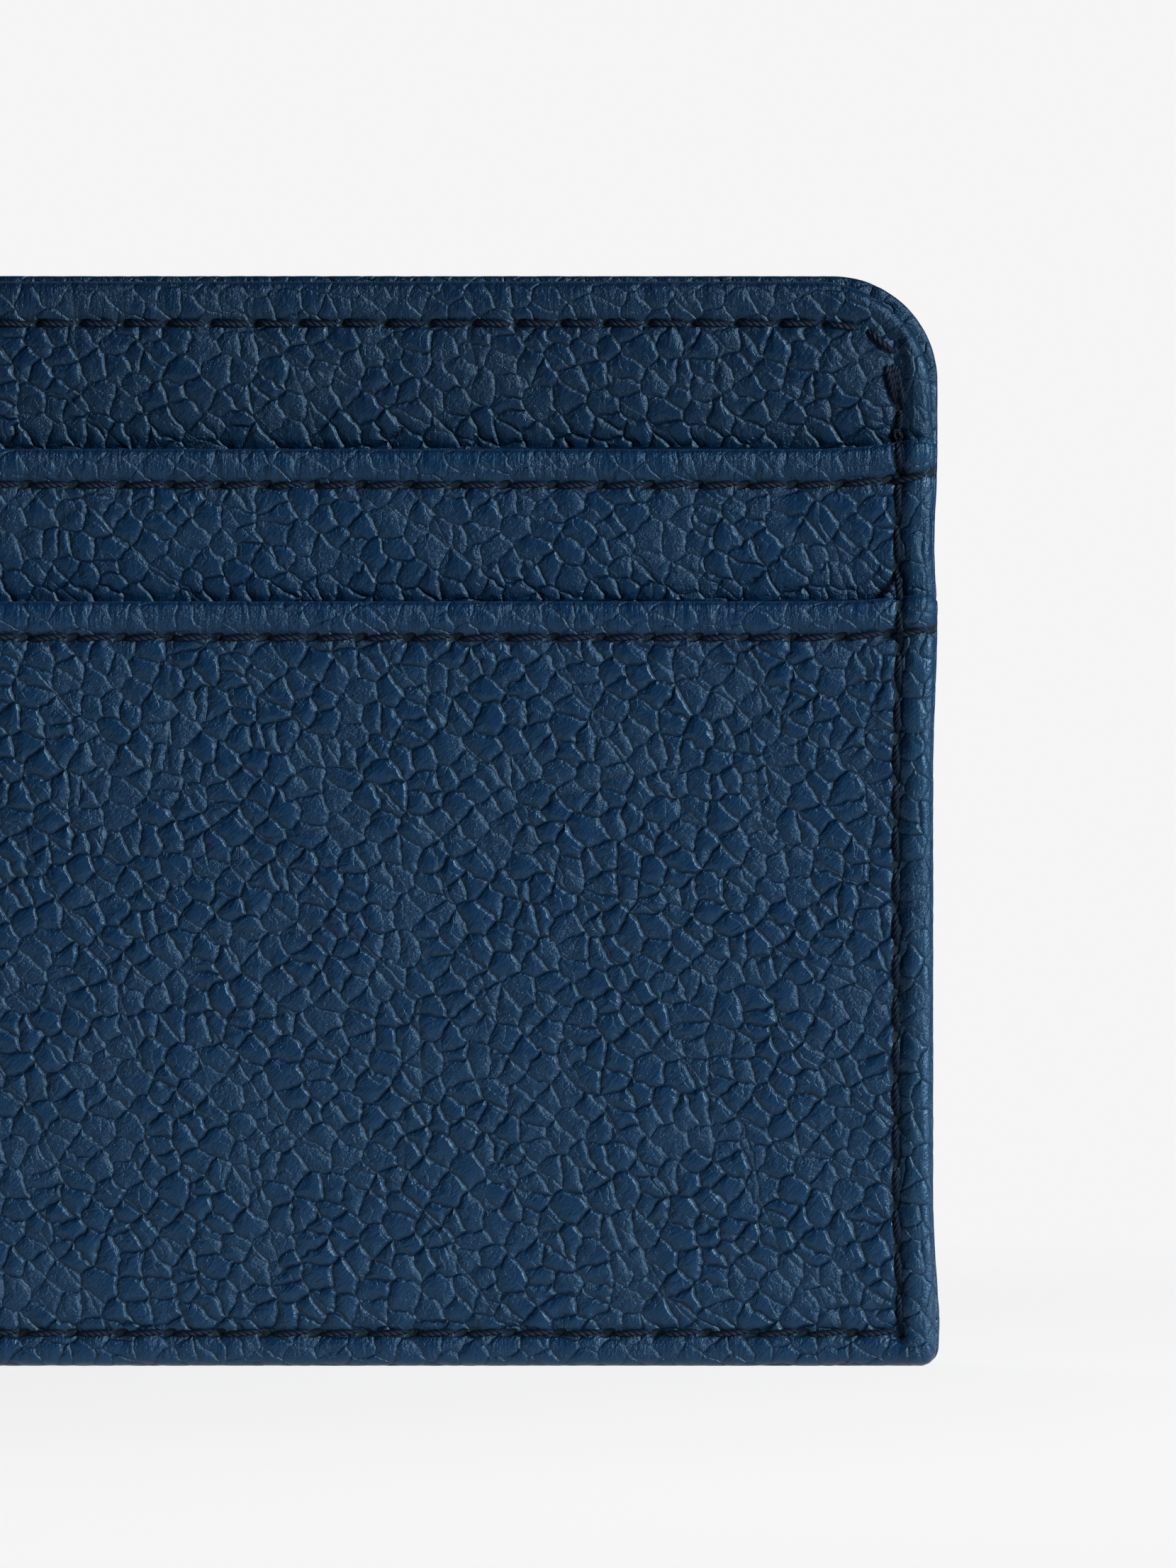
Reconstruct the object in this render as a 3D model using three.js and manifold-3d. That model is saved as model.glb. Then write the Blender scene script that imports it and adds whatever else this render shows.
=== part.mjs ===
// A flat sewn card holder, standing on its bottom edge.
//
// Frame, in millimetres: +X to the right across the width, +Z up, +Y towards the back.
// The origin is at the middle of the base. Each half is built outwards from the middle
// plane (Y = 0), so a depth is a distance from that plane: the front half's depths run
// towards -Y and the back half's towards +Y.

import * as THREE from 'three';
import { mergeVertices } from 'three/addons/utils/BufferGeometryUtils.js';
import Module from 'manifold-3d';

// ---- Driving dimensions ----------------------------------------------------------------

// Overall
const width = 105;              // across the back half
const height = 70;              // of the back half
const frontInset = 0.2;         // the front half stops short of the back half at each side
const frontDrop = 0.4;          // and is lower than it at the top edge
const topCornerRadius = 6.8;
const bottomCornerRadius = 0.9;

// Sheet materials
const leather = 0.5;            // skived leather
const flap = 0.25;              // leather thinned where it is turned over and glued down
const cloth = 0.15;             // lining and pocket tails
const board = 0.3;              // stiffener
const glueGap = 0.05;           // between layers that are glued together
const slotGap = 0.08;           // an empty card slot, pressed flat
const centreGap = 0.2;          // the empty centre compartment, lining to lining

// Pockets and turned edges
const lowerMouth = 49;          // height of the lower pocket's mouth
const mouthStep = 9.8;          // from there up to the upper pocket's mouth
const hemDepth = 5;             // how far a turned mouth reaches down behind its leather
const turnIn = 6;               // how far the sides, bottom and top turn in
const pocketOverlap = 8;        // upper pocket's leather below the lower pocket's mouth
const tailOverlap = 4;          // cloth tail behind that leather
const liningSetback = 1.4;      // lining's top edge below its half's top edge
const liningMargin = 0.8;       // and its other edges inside the half's outline

// Stitching
const threadWidth = 0.42;
const threadHeight = 0.22;      // how proud a thread lies
const threadGap = 0.04;         // from the thread to what it lies on
const sideSeamInset = 2.3;      // side seam in from the front half's side edge
const bottomSeamHeight = 2.1;
const topStitchDrop = 2.7;      // top stitch below its half's top edge
const mouthStitchDrop = 2.3;    // mouth stitch below its pocket's mouth
const stitchTurnReach = 4.5;    // how far from the seam the top stitch starts to bend down
const tackLength = 4.5;
const tackWidth = 0.95;
const tackClearance = 0.5;      // between a tack and the threads above and below it
const seamEnd = 0.6;            // end of the side seam above the upper pocket's mouth

const topCornerSteps = 12;
const lowCornerSteps = 4;
const sharpBelow = 0.2;         // radius under which an inset corner is left sharp

// ---- Layer depths from the middle plane --------------------------------------------------

const liningFrom = centreGap / 2;
const liningTo = liningFrom + cloth;
const flapFrom = liningTo + glueGap;
const flapTo = flapFrom + flap;
const boardFrom = flapTo + glueGap;
const boardTo = boardFrom + board;
const panelFrom = boardTo + glueGap;
const panelTo = panelFrom + leather;
const upperBackFrom = panelTo + slotGap;          // hem and tail behind the upper pocket
const upperFrom = upperBackFrom + flap + glueGap;
const upperTo = upperFrom + leather;
const lowerBackFrom = upperTo + slotGap;          // hem behind the lower pocket
const lowerFrom = lowerBackFrom + flap + glueGap;
const lowerTo = lowerFrom + leather;

const upperMouth = lowerMouth + mouthStep;
const leatherEnd = lowerMouth - pocketOverlap;    // lower edge of the upper pocket's leather
const inside = leather + glueGap;                 // clear of a turned side wall
const seamX = width / 2 - frontInset - sideSeamInset;
const halfThread = threadWidth / 2;
const threadRise = threadGap + threadHeight;      // from a face to the outside of its thread
const tackLow = upperMouth + seamEnd + tackClearance;

const halves = [
  { name: 'front', side: -1, halfWidth: width / 2 - frontInset, top: height - frontDrop },
  { name: 'back', side: 1, halfWidth: width / 2, top: height },
];

// ---- Materials ---------------------------------------------------------------------------

const leatherMaterial = new THREE.MeshStandardMaterial({ color: 0x1b3450, roughness: 0.5, metalness: 0 });
const threadMaterial = new THREE.MeshStandardMaterial({ color: 0x16182a, roughness: 0.7, metalness: 0 });
const clothMaterial = new THREE.MeshStandardMaterial({ color: 0x1a2233, roughness: 0.9, metalness: 0 });
const boardMaterial = new THREE.MeshStandardMaterial({ color: 0x8b8478, roughness: 0.9, metalness: 0 });

// ---- Solids ------------------------------------------------------------------------------

const wasm = await Module();
wasm.setup();

function toSolid(geometry) {
  const bare = geometry.index ? geometry.toNonIndexed() : geometry.clone();
  bare.deleteAttribute('normal');
  bare.deleteAttribute('uv');
  const merged = mergeVertices(bare, 1e-5);
  return new wasm.Manifold(new wasm.Mesh({
    numProp: 3,
    vertProperties: new Float32Array(merged.attributes.position.array),
    triVerts: new Uint32Array(merged.index.array),
  }));
}

function toGeometry(solid) {
  const mesh = solid.getMesh();
  const geometry = new THREE.BufferGeometry();
  geometry.setAttribute('position', new THREE.BufferAttribute(new Float32Array(mesh.vertProperties), 3));
  geometry.setIndex(new THREE.BufferAttribute(new Uint32Array(mesh.triVerts), 1));
  const flat = geometry.toNonIndexed();
  flat.computeVertexNormals();
  return flat;
}

// An outline drawn in X and Z becomes a solid between two depths of one half.
function slab(shape, half, from, to) {
  const geometry = new THREE.ExtrudeGeometry(shape, {
    depth: to - from,
    bevelEnabled: false,
    curveSegments: topCornerSteps,
  });
  geometry.rotateX(Math.PI / 2);
  geometry.translate(0, half.side < 0 ? -from : to, 0);
  return toSolid(geometry);
}

function rectangle(left, right, low, high) {
  const shape = new THREE.Shape();
  shape.moveTo(left, low);
  shape.lineTo(right, low);
  shape.lineTo(right, high);
  shape.lineTo(left, high);
  shape.closePath();
  return shape;
}

// The points of a quarter arc; a corner too small to round is a single point.
function corner(cx, cz, radius, from, steps) {
  if (radius < sharpBelow) return [new THREE.Vector2(cx, cz)];
  const points = [];
  for (let i = 0; i <= steps; i++) {
    const angle = from + (Math.PI / 2) * (i / steps);
    points.push(new THREE.Vector2(cx + radius * Math.cos(angle), cz + radius * Math.sin(angle)));
  }
  return points;
}

// A half's outline, drawn inset by some distance: small bottom corners, large top ones.
function outline(half, inset) {
  const x = half.halfWidth - inset;
  const top = half.top - inset;
  const rTop = Math.max(topCornerRadius - inset, 0);
  const rLow = Math.max(bottomCornerRadius - inset, 0);
  return new THREE.Shape([
    ...corner(x - rLow, inset + rLow, rLow, -Math.PI / 2, lowCornerSteps),
    ...corner(x - rTop, top - rTop, rTop, 0, topCornerSteps),
    ...corner(rTop - x, top - rTop, rTop, Math.PI / 2, topCornerSteps),
    ...corner(rLow - x, inset + rLow, rLow, Math.PI, lowCornerSteps),
  ]);
}

// A wide band between two heights, used to cut an outline down to a zone.
function zone(half, low, high) {
  return slab(rectangle(-width, width, low, high), half, 0, lowerTo * 2);
}

// One piece of leather of a half. It shows from its low line up to its mouth, wraps round
// the half's edge there and is turned in on the inner side. Below tuckBelow it carries on
// as a plain sheet inside the next pocket's side walls. A backed mouth is turned over and
// down behind its own face, at backFrom.
function turnedPiece(half, { low, mouth, tuckBelow, backFrom, faceFrom, faceTo }) {
  const block = slab(outline(half, 0), half, flapFrom, faceTo);
  const window = slab(outline(half, turnIn), half, 0, flapTo + glueGap);
  let core = slab(outline(half, leather), half, flapTo, faceFrom);
  if (backFrom !== undefined) {
    const roll = slab(rectangle(-width, width, mouth - leather, mouth + leather), half, backFrom, faceTo);
    const turned = rectangle(-width, width, mouth - hemDepth, mouth + leather);
    core = core.subtract(roll).subtract(slab(turned, half, backFrom, backFrom + flap));
  }
  let piece = block.subtract(core).subtract(window).intersect(zone(half, low, mouth));
  if (tuckBelow !== undefined) {
    const kept = slab(outline(half, inside), half, faceFrom, lowerTo * 2);
    piece = piece.subtract(zone(half, low - leather, tuckBelow).subtract(kept));
  }
  return piece;
}

// A plain sheet inside the turned side walls.
function tucked(half, low, high, from, to) {
  return slab(outline(half, inside), half, from, to).intersect(zone(half, low, high));
}

// ---- Leather, cloth and board of one half --------------------------------------------------

function panel(half) {
  return turnedPiece(half, {
    low: 0,
    mouth: half.top + leather,
    tuckBelow: upperMouth + glueGap,
    faceFrom: panelFrom,
    faceTo: panelTo,
  });
}

function upperPocket(half) {
  return turnedPiece(half, {
    low: leatherEnd,
    mouth: upperMouth,
    tuckBelow: lowerMouth + glueGap,
    backFrom: upperBackFrom,
    faceFrom: upperFrom,
    faceTo: upperTo,
  });
}

function lowerPocket(half) {
  return turnedPiece(half, {
    low: -leather,
    mouth: lowerMouth,
    backFrom: lowerBackFrom,
    faceFrom: lowerFrom,
    faceTo: lowerTo,
  });
}

function tail(half) {
  return tucked(half, 0, leatherEnd + tailOverlap, upperBackFrom, upperBackFrom + cloth);
}

function stiffener(half) {
  return slab(outline(half, inside), half, boardFrom, boardTo);
}

function lining(half) {
  const sheet = slab(outline(half, liningMargin), half, liningFrom, liningTo);
  return sheet.intersect(zone(half, 0, half.top - liningSetback));
}

// ---- Threads ---------------------------------------------------------------------------------

// A straight run of thread across the width, lying on a face.
function levelThread(half, z, reach, face) {
  const shape = rectangle(-reach, reach, z - halfThread, z + halfThread);
  return slab(shape, half, face + threadGap, face + threadRise);
}

// Along the top edge, bending down at both ends to just above the tacks.
function topStitch(half) {
  const end = tackLow + tackLength + tackClearance;
  const drop = half.top - topStitchDrop - end;
  const bendX = seamX - stitchTurnReach;
  const shape = new THREE.Shape();
  const quarter = (sign, grow, from, to, clockwise) => {
    const rx = stitchTurnReach + grow;
    const rz = drop + grow;
    shape.absellipse(sign * bendX, end, rx, rz, from, to, clockwise, 0);
  };
  shape.moveTo(seamX + halfThread, end);
  quarter(1, halfThread, 0, Math.PI / 2, false);
  quarter(-1, halfThread, Math.PI / 2, Math.PI, false);
  shape.lineTo(-seamX + halfThread, end);
  quarter(-1, -halfThread, Math.PI, Math.PI / 2, true);
  quarter(1, -halfThread, Math.PI / 2, 0, true);
  return slab(shape, half, panelTo + threadGap, panelTo + threadRise);
}

// One side's run of the seam: it steps down from pocket to pocket and bridges the two
// mouth stitches that it crosses.
function sideSeam(half, sign) {
  const left = sign * seamX - halfThread;
  const right = left + threadWidth;
  const clear = halfThread + threadGap;
  const over = clear + threadHeight;
  const band = (low, high, from, to) => slab(rectangle(left, right, low, high), half, from, to);
  const stretch = (low, high, face) => band(low, high, face + threadGap, face + threadRise);
  const riser = (mouth, inner, outer) =>
    band(mouth + threadGap, mouth + threadRise, inner + threadGap, outer + threadRise);
  const bridge = (z, face) => band(z - over, z + over, face + threadRise, face + 2 * threadRise);
  const tunnel = (z, face) => band(z - clear, z + clear, face, face + threadRise + threadGap);

  let run = stretch(bottomSeamHeight, lowerMouth + threadRise, lowerTo);
  run = run.add(riser(lowerMouth, upperTo, lowerTo));
  run = run.add(stretch(lowerMouth + threadGap, upperMouth + threadRise, upperTo));
  run = run.add(riser(upperMouth, panelTo, upperTo));
  run = run.add(stretch(upperMouth + threadGap, upperMouth + seamEnd, panelTo));
  for (const [mouth, face] of [[lowerMouth, lowerTo], [upperMouth, upperTo]]) {
    const z = mouth - mouthStitchDrop;
    run = run.add(bridge(z, face)).subtract(tunnel(z, face));
  }
  return run;
}

function seamThread(half) {
  const bottom = levelThread(half, bottomSeamHeight, seamX + halfThread, lowerTo);
  return bottom.add(sideSeam(half, -1)).add(sideSeam(half, 1));
}

function tack(half, sign) {
  const x = sign * seamX;
  const shape = rectangle(x - tackWidth / 2, x + tackWidth / 2, tackLow, tackLow + tackLength);
  return slab(shape, half, panelTo + threadGap, panelTo + threadRise);
}

// Hidden: joins the tail's cloth to the pocket's leather, on the cloth's inner side.
function tailSeam(half) {
  const z = leatherEnd + tailOverlap / 2;
  const gap = (slotGap - threadGap) / 2;
  const shape = rectangle(-seamX, seamX, z - halfThread, z + halfThread);
  return slab(shape, half, upperBackFrom + cloth + gap, upperFrom - gap);
}

// ---- Assembly ------------------------------------------------------------------------------

const holder = new THREE.Group();

function add(name, solid, material) {
  const mesh = new THREE.Mesh(toGeometry(solid), material);
  mesh.name = name;
  holder.add(mesh);
}

for (const half of halves) {
  const reach = half.halfWidth - halfThread;
  add(`${half.name}_panel`, panel(half), leatherMaterial);
  add(`${half.name}_upper_pocket`, upperPocket(half), leatherMaterial);
  add(`${half.name}_lower_pocket`, lowerPocket(half), leatherMaterial);
  add(`${half.name}_tail`, tail(half), clothMaterial);
  add(`${half.name}_board`, stiffener(half), boardMaterial);
  add(`${half.name}_lining`, lining(half), clothMaterial);
  add(`${half.name}_top_stitch`, topStitch(half), threadMaterial);
  add(`${half.name}_upper_mouth_stitch`,
    levelThread(half, upperMouth - mouthStitchDrop, reach, upperTo), threadMaterial);
  add(`${half.name}_lower_mouth_stitch`,
    levelThread(half, lowerMouth - mouthStitchDrop, reach, lowerTo), threadMaterial);
  add(`${half.name}_seam_thread`, seamThread(half), threadMaterial);
  add(`${half.name}_tail_seam`, tailSeam(half), threadMaterial);
  add(`${half.name}_tack_right`, tack(half, 1), threadMaterial);
  add(`${half.name}_tack_left`, tack(half, -1), threadMaterial);
}

export default holder;
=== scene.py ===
"""A flat sewn card holder in grained navy leather, standing on its bottom edge.

Two sewn halves share one seam. Each half is a panel over a board, an upper and a lower card
pocket, a cloth tail and a cloth lining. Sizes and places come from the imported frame, in metres;
working values here are in millimetres and MM turns them into metres.
"""
import math

import bpy
import numpy as np
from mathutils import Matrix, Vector


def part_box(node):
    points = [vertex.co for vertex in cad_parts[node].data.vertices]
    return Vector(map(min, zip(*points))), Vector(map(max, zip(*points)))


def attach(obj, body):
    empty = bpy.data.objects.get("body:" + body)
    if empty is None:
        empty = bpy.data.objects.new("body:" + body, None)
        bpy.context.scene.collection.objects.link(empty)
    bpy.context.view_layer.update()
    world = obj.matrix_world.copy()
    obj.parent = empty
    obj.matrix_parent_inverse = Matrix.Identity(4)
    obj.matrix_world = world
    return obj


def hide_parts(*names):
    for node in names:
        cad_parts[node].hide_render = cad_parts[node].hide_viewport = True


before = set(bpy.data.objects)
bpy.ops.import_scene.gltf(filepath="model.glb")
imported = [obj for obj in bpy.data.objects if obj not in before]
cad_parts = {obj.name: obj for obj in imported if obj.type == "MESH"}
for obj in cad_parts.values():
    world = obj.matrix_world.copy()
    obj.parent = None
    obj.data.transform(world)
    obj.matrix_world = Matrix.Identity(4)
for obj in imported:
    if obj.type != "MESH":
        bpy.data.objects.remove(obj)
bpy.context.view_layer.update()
MM = 0.001

# ---- Working values, millimetres -----------------------------------------------------------------

MESH_STEP = 0.3     # spacing of the leather's visible surface
CORNER_STRETCH = 0.7       # the last stretch at an edge
CORNER_STEP = 0.1          # spacing in that stretch
HIDDEN_STEP = 1.6          # spacing inside the holder
EDGE_CLEAR = 0.06          # from a sewn edge to the plane between the halves
EDGE_ROUND = 0.62          # rounding of a turned side edge
INNER_ROUND = 0.3          # rounding of its inner corner
TURN_IN = 5.5              # how far leather turns in behind an edge
HEM_DEPTH = 5.0            # how far it turns down behind a mouth
LEATHER = 0.5              # thickness of leather
FLAP = 0.25                # and where it is pared to be turned in
MOUTH_CORNER = 0.75        # rounding of a mouth's end at the side edge
BOTTOM_CORNER = 0.95       # rounding of the holder's bottom corners
TOP_CORNER = 6.8           # and of its top corners
LINING_CORNER = TOP_CORNER - 1.6
FRONT_CORNER_MORE = 0.7    # the front half's top corner is a little rounder
FRONT_SLIM = 0.22          # and the half is this much narrower there at each side
TUCK_SLIM = LEATHER + 0.12     # how much narrower leather is where it lies inside the next pocket
THREAD = 0.43              # thread thickness
STITCH_TOP = 2.79          # stitch lengths
STITCH_MOUTH = 3.06
STITCH_SIDE = 2.79
STITCH_BOTTOM = 3.1
STITCH_BEND = 4.5          # radius of the top stitch's bend down to a tack


# ---- Reading the frame ---------------------------------------------------------------------------

def box_mm(node):
    low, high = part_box(node)
    return np.array(low) / MM, np.array(high) / MM


class Half:
    """The sizes of the front or the back half; a face is given as its depth from the middle plane."""

    def __init__(self, name, side):
        self.name, self.side = name, side
        panel, upper, lower = (box_mm(f"{name}_{n}") for n in ("panel", "upper_pocket", "lower_pocket"))
        top_stitch, seam = box_mm(f"{name}_top_stitch"), box_mm(f"{name}_seam_thread")
        tack = box_mm(f"{name}_tack_right")

        def far(box):
            return max(abs(box[0][1]), abs(box[1][1]))

        def near(box):
            return min(abs(box[0][1]), abs(box[1][1]))

        self.wide = panel[1][0]
        self.top = panel[1][2]
        self.panel_face, self.upper_face, self.lower_face = far(panel), far(upper), far(lower)
        self.flap_from = near(panel)
        self.upper_mouth, self.lower_mouth = upper[1][2], lower[1][2]
        self.upper_low = upper[0][2]
        self.panel_low = panel[0][2]
        self.upper_stitch = sum(b[2] for b in box_mm(f"{name}_upper_mouth_stitch")) / 2
        self.lower_stitch = sum(b[2] for b in box_mm(f"{name}_lower_mouth_stitch")) / 2
        self.top_stitch = top_stitch[1][2] - THREAD / 2
        self.top_stitch_end = top_stitch[0][2]
        self.seam_x = (tack[0][0] + tack[1][0]) / 2
        self.seam_z = seam[0][2] + THREAD / 2
        self.seam_end = seam[1][2]
        self.tack_low, self.tack_high = tack[0][2], tack[1][2]
        self.top_corner = TOP_CORNER + (FRONT_CORNER_MORE if side < 0 else 0.0)


FRONT = Half("front", -1)
BACK = Half("back", 1)


# ---- Small helpers -------------------------------------------------------------------------------

def deselect():
    if bpy.context.mode != "OBJECT":
        bpy.ops.object.mode_set(mode="OBJECT")
    bpy.ops.object.select_all(action="DESELECT")


def activate(obj):
    deselect()
    obj.select_set(True)
    bpy.context.view_layer.objects.active = obj


def face_outwards():
    """Turns all faces of the active object outwards."""
    bpy.ops.object.mode_set(mode="EDIT")
    bpy.ops.mesh.select_all(action="SELECT")
    bpy.ops.mesh.normals_make_consistent(inside=False)
    bpy.ops.object.mode_set(mode="OBJECT")


def read_points(mesh):
    points = np.empty(len(mesh.vertices) * 3)
    mesh.vertices.foreach_get("co", points)
    return points.reshape(-1, 3)


def write_points(mesh, points):
    mesh.vertices.foreach_set("co", np.ascontiguousarray(points, dtype=np.float32).ravel())
    mesh.update()


def set_attribute(mesh, name, kind, values):
    layer = mesh.attributes.get(name) or mesh.attributes.new(name, kind, "POINT")
    slot = "vector" if kind == "FLOAT_VECTOR" else "value"
    layer.data.foreach_set(slot, np.ravel(values).astype(np.float32))


def flat_grid(name, xs, zs):
    """A flat mesh with these grid lines; returns it with its points' x and z, and which lie on its rim."""
    deselect()
    bpy.ops.mesh.primitive_grid_add(x_subdivisions=len(xs) - 1, y_subdivisions=len(zs) - 1, size=2)
    obj = bpy.context.object
    obj.name = obj.data.name = name
    flat = read_points(obj.data)
    u = (flat[:, 0] + 1) / 2 * (len(xs) - 1)
    v = (flat[:, 1] + 1) / 2 * (len(zs) - 1)
    rim = np.flatnonzero((np.abs(flat[:, 0]) > 1 - 1e-6) | (np.abs(flat[:, 1]) > 1 - 1e-6))
    return obj, np.interp(u, np.arange(len(xs)), xs), np.interp(v, np.arange(len(zs)), zs), rim


def step01(x, low, high):
    """0 below low, 1 above high and a smooth step between them."""
    t = np.clip((x - low) / (high - low), 0.0, 1.0)
    return t * t * (3 - 2 * t)


def bump(x, centre, width):
    return np.exp(-((x - centre) / width) ** 2)


def spaced(low, high, step):
    return np.linspace(low, high, max(2, int(round((high - low) / step)) + 1))


def edge_spaced(low, high, step):
    """Evenly spaced, with finer steps in the last stretch at both ends, where corners are rounded."""
    fine = spaced(0, CORNER_STRETCH, CORNER_STEP)
    middle = spaced(low + CORNER_STRETCH, high - CORNER_STRETCH, step)[1:-1]
    return np.concatenate([low + fine, middle, high - fine[::-1]])


# ---- Node writing --------------------------------------------------------------------------------

class Tree:
    """Adds nodes to a shader or geometry tree; each call returns an output socket."""

    def __init__(self, tree):
        self.tree = tree

    def node(self, kind, settings=None, inputs=None):
        made = self.tree.nodes.new(kind)
        for key, value in (settings or {}).items():
            setattr(made, key, value)
        for key, value in (inputs or {}).items():
            self.feed(made.inputs[key], value)
        return made

    def feed(self, socket, value):
        if isinstance(value, bpy.types.NodeSocket):
            self.tree.links.new(value, socket)
        else:
            socket.default_value = value

    def math(self, operation, a, b=0.0, clamp=False):
        made = self.node("ShaderNodeMath", {"operation": operation, "use_clamp": clamp})
        for socket, value in zip(made.inputs, (a, b)):
            self.feed(socket, value)
        return made.outputs[0]

    def add(self, *terms):
        total = terms[0]
        for term in terms[1:]:
            total = self.math("ADD", total, term)
        return total

    def mul(self, *terms):
        total = terms[0]
        for term in terms[1:]:
            total = self.math("MULTIPLY", total, term)
        return total

    def vector(self, operation, a, b=(0, 0, 0), scale=1.0):
        made = self.node("ShaderNodeVectorMath", {"operation": operation})
        self.feed(made.inputs[0], a)
        if operation == "SCALE":
            self.feed(made.inputs[3], scale)
        elif operation != "LENGTH":
            self.feed(made.inputs[1], b)
        return made.outputs["Value" if operation == "LENGTH" else "Vector"]

    def noise(self, coords, scale, detail=2.0, rough=0.5, colour=False):
        made = self.node("ShaderNodeTexNoise", {"noise_dimensions": "3D"},
                         {"Vector": coords, "Scale": scale, "Detail": detail, "Roughness": rough})
        return made.outputs["Color" if colour else 0]

    def cells(self, coords, scale, randomness=1.0, centre=False):
        """Distance to the nearest cell edge, in the unit of coords, and if asked the cell's centre."""
        made = [self.node("ShaderNodeTexVoronoi", {"voronoi_dimensions": "2D", "feature": feature},
                          {"Vector": coords, "Scale": scale, "Randomness": randomness})
                for feature in ("DISTANCE_TO_EDGE", "F1")[:2 if centre else 1]]
        edge = self.math("DIVIDE", made[0].outputs["Distance"], scale)
        return (edge, made[1].outputs["Position"]) if centre else edge

    def ramp(self, value, low, high, to_low=0.0, to_high=1.0):
        made = self.node("ShaderNodeMapRange", {"interpolation_type": "SMOOTHSTEP"})
        for socket, x in zip(made.inputs, (value, low, high, to_low, to_high)):
            self.feed(socket, x)
        return made.outputs[0]

    def blend(self, factor, a, b):
        made = self.node("ShaderNodeMix", {"data_type": "RGBA"})
        self.feed(made.inputs[0], factor)
        self.feed(made.inputs[6], a)
        self.feed(made.inputs[7], b)
        return made.outputs[2]

    def attribute(self, name, output="Vector"):
        return self.node("ShaderNodeAttribute", {"attribute_name": name}).outputs[output]

    def object_place(self):
        """Object coordinates in mm."""
        return self.vector("SCALE", self.node("ShaderNodeTexCoord").outputs["Object"], scale=1 / MM)

    def raise_normal(self, shader, height, strength=1.0):
        """Gives a shader the fine relief of a height in mm."""
        made = self.node("ShaderNodeBump",
                         inputs={"Strength": strength, "Distance": MM, "Height": height})
        self.feed(shader.inputs["Normal"], made.outputs[0])

    def split(self, vector):
        return self.node("ShaderNodeSeparateXYZ", inputs={"Vector": vector}).outputs

    def join(self, x, y, z=0.0):
        return self.node("ShaderNodeCombineXYZ", inputs={"X": x, "Y": y, "Z": z}).outputs[0]


def new_group(name, kind, inputs, outputs):
    """A node group with named sockets; returns it with its writer, input and output nodes."""
    group = bpy.data.node_groups.new(name, kind)
    for title, socket, default in inputs:
        made = group.interface.new_socket(title, in_out="INPUT", socket_type=socket)
        if default is not None:
            made.default_value = default
    for title, socket in outputs:
        group.interface.new_socket(title, in_out="OUTPUT", socket_type=socket)
    writer = Tree(group)
    entry, leave = writer.node("NodeGroupInput"), writer.node("NodeGroupOutput")
    return group, writer, entry, leave


# ---- Pebble grain: one recipe for the mesh and for the finish ------------------------------------

GRAIN_TILT = math.radians(40)     # the hide's stretch runs down to the right
CELL = 1.45                       # size of a pebble
FOLD = 6.0                        # distance between long folds
MESH_SWELL, MESH_CREASE = 0.045, 0.02           # heights that the mesh carries
FINE_SWELL, FINE_CREASE = 0.24, 0.06            # and those that the finish adds
FINE_WRINKLE, FINE_HAIR = 0.1, 0.05
FINE_DRAWN = 0.22                 # soft lines where the grain is pressed smooth


def crease(t, distance, width):
    """1 in the bottom of a crease, falling to 0 at its shoulder."""
    nearness = t.math("SUBTRACT", 1.0, t.math("DIVIDE", distance, width), clamp=True)
    return t.mul(nearness, nearness)


def rounded(t, distance, width):
    """0 in the crease, rising quickly and then easing over to 1 at this distance from it."""
    rise = t.math("DIVIDE", distance, width, clamp=True)
    return t.mul(rise, t.math("SUBTRACT", 2.0, rise))


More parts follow.
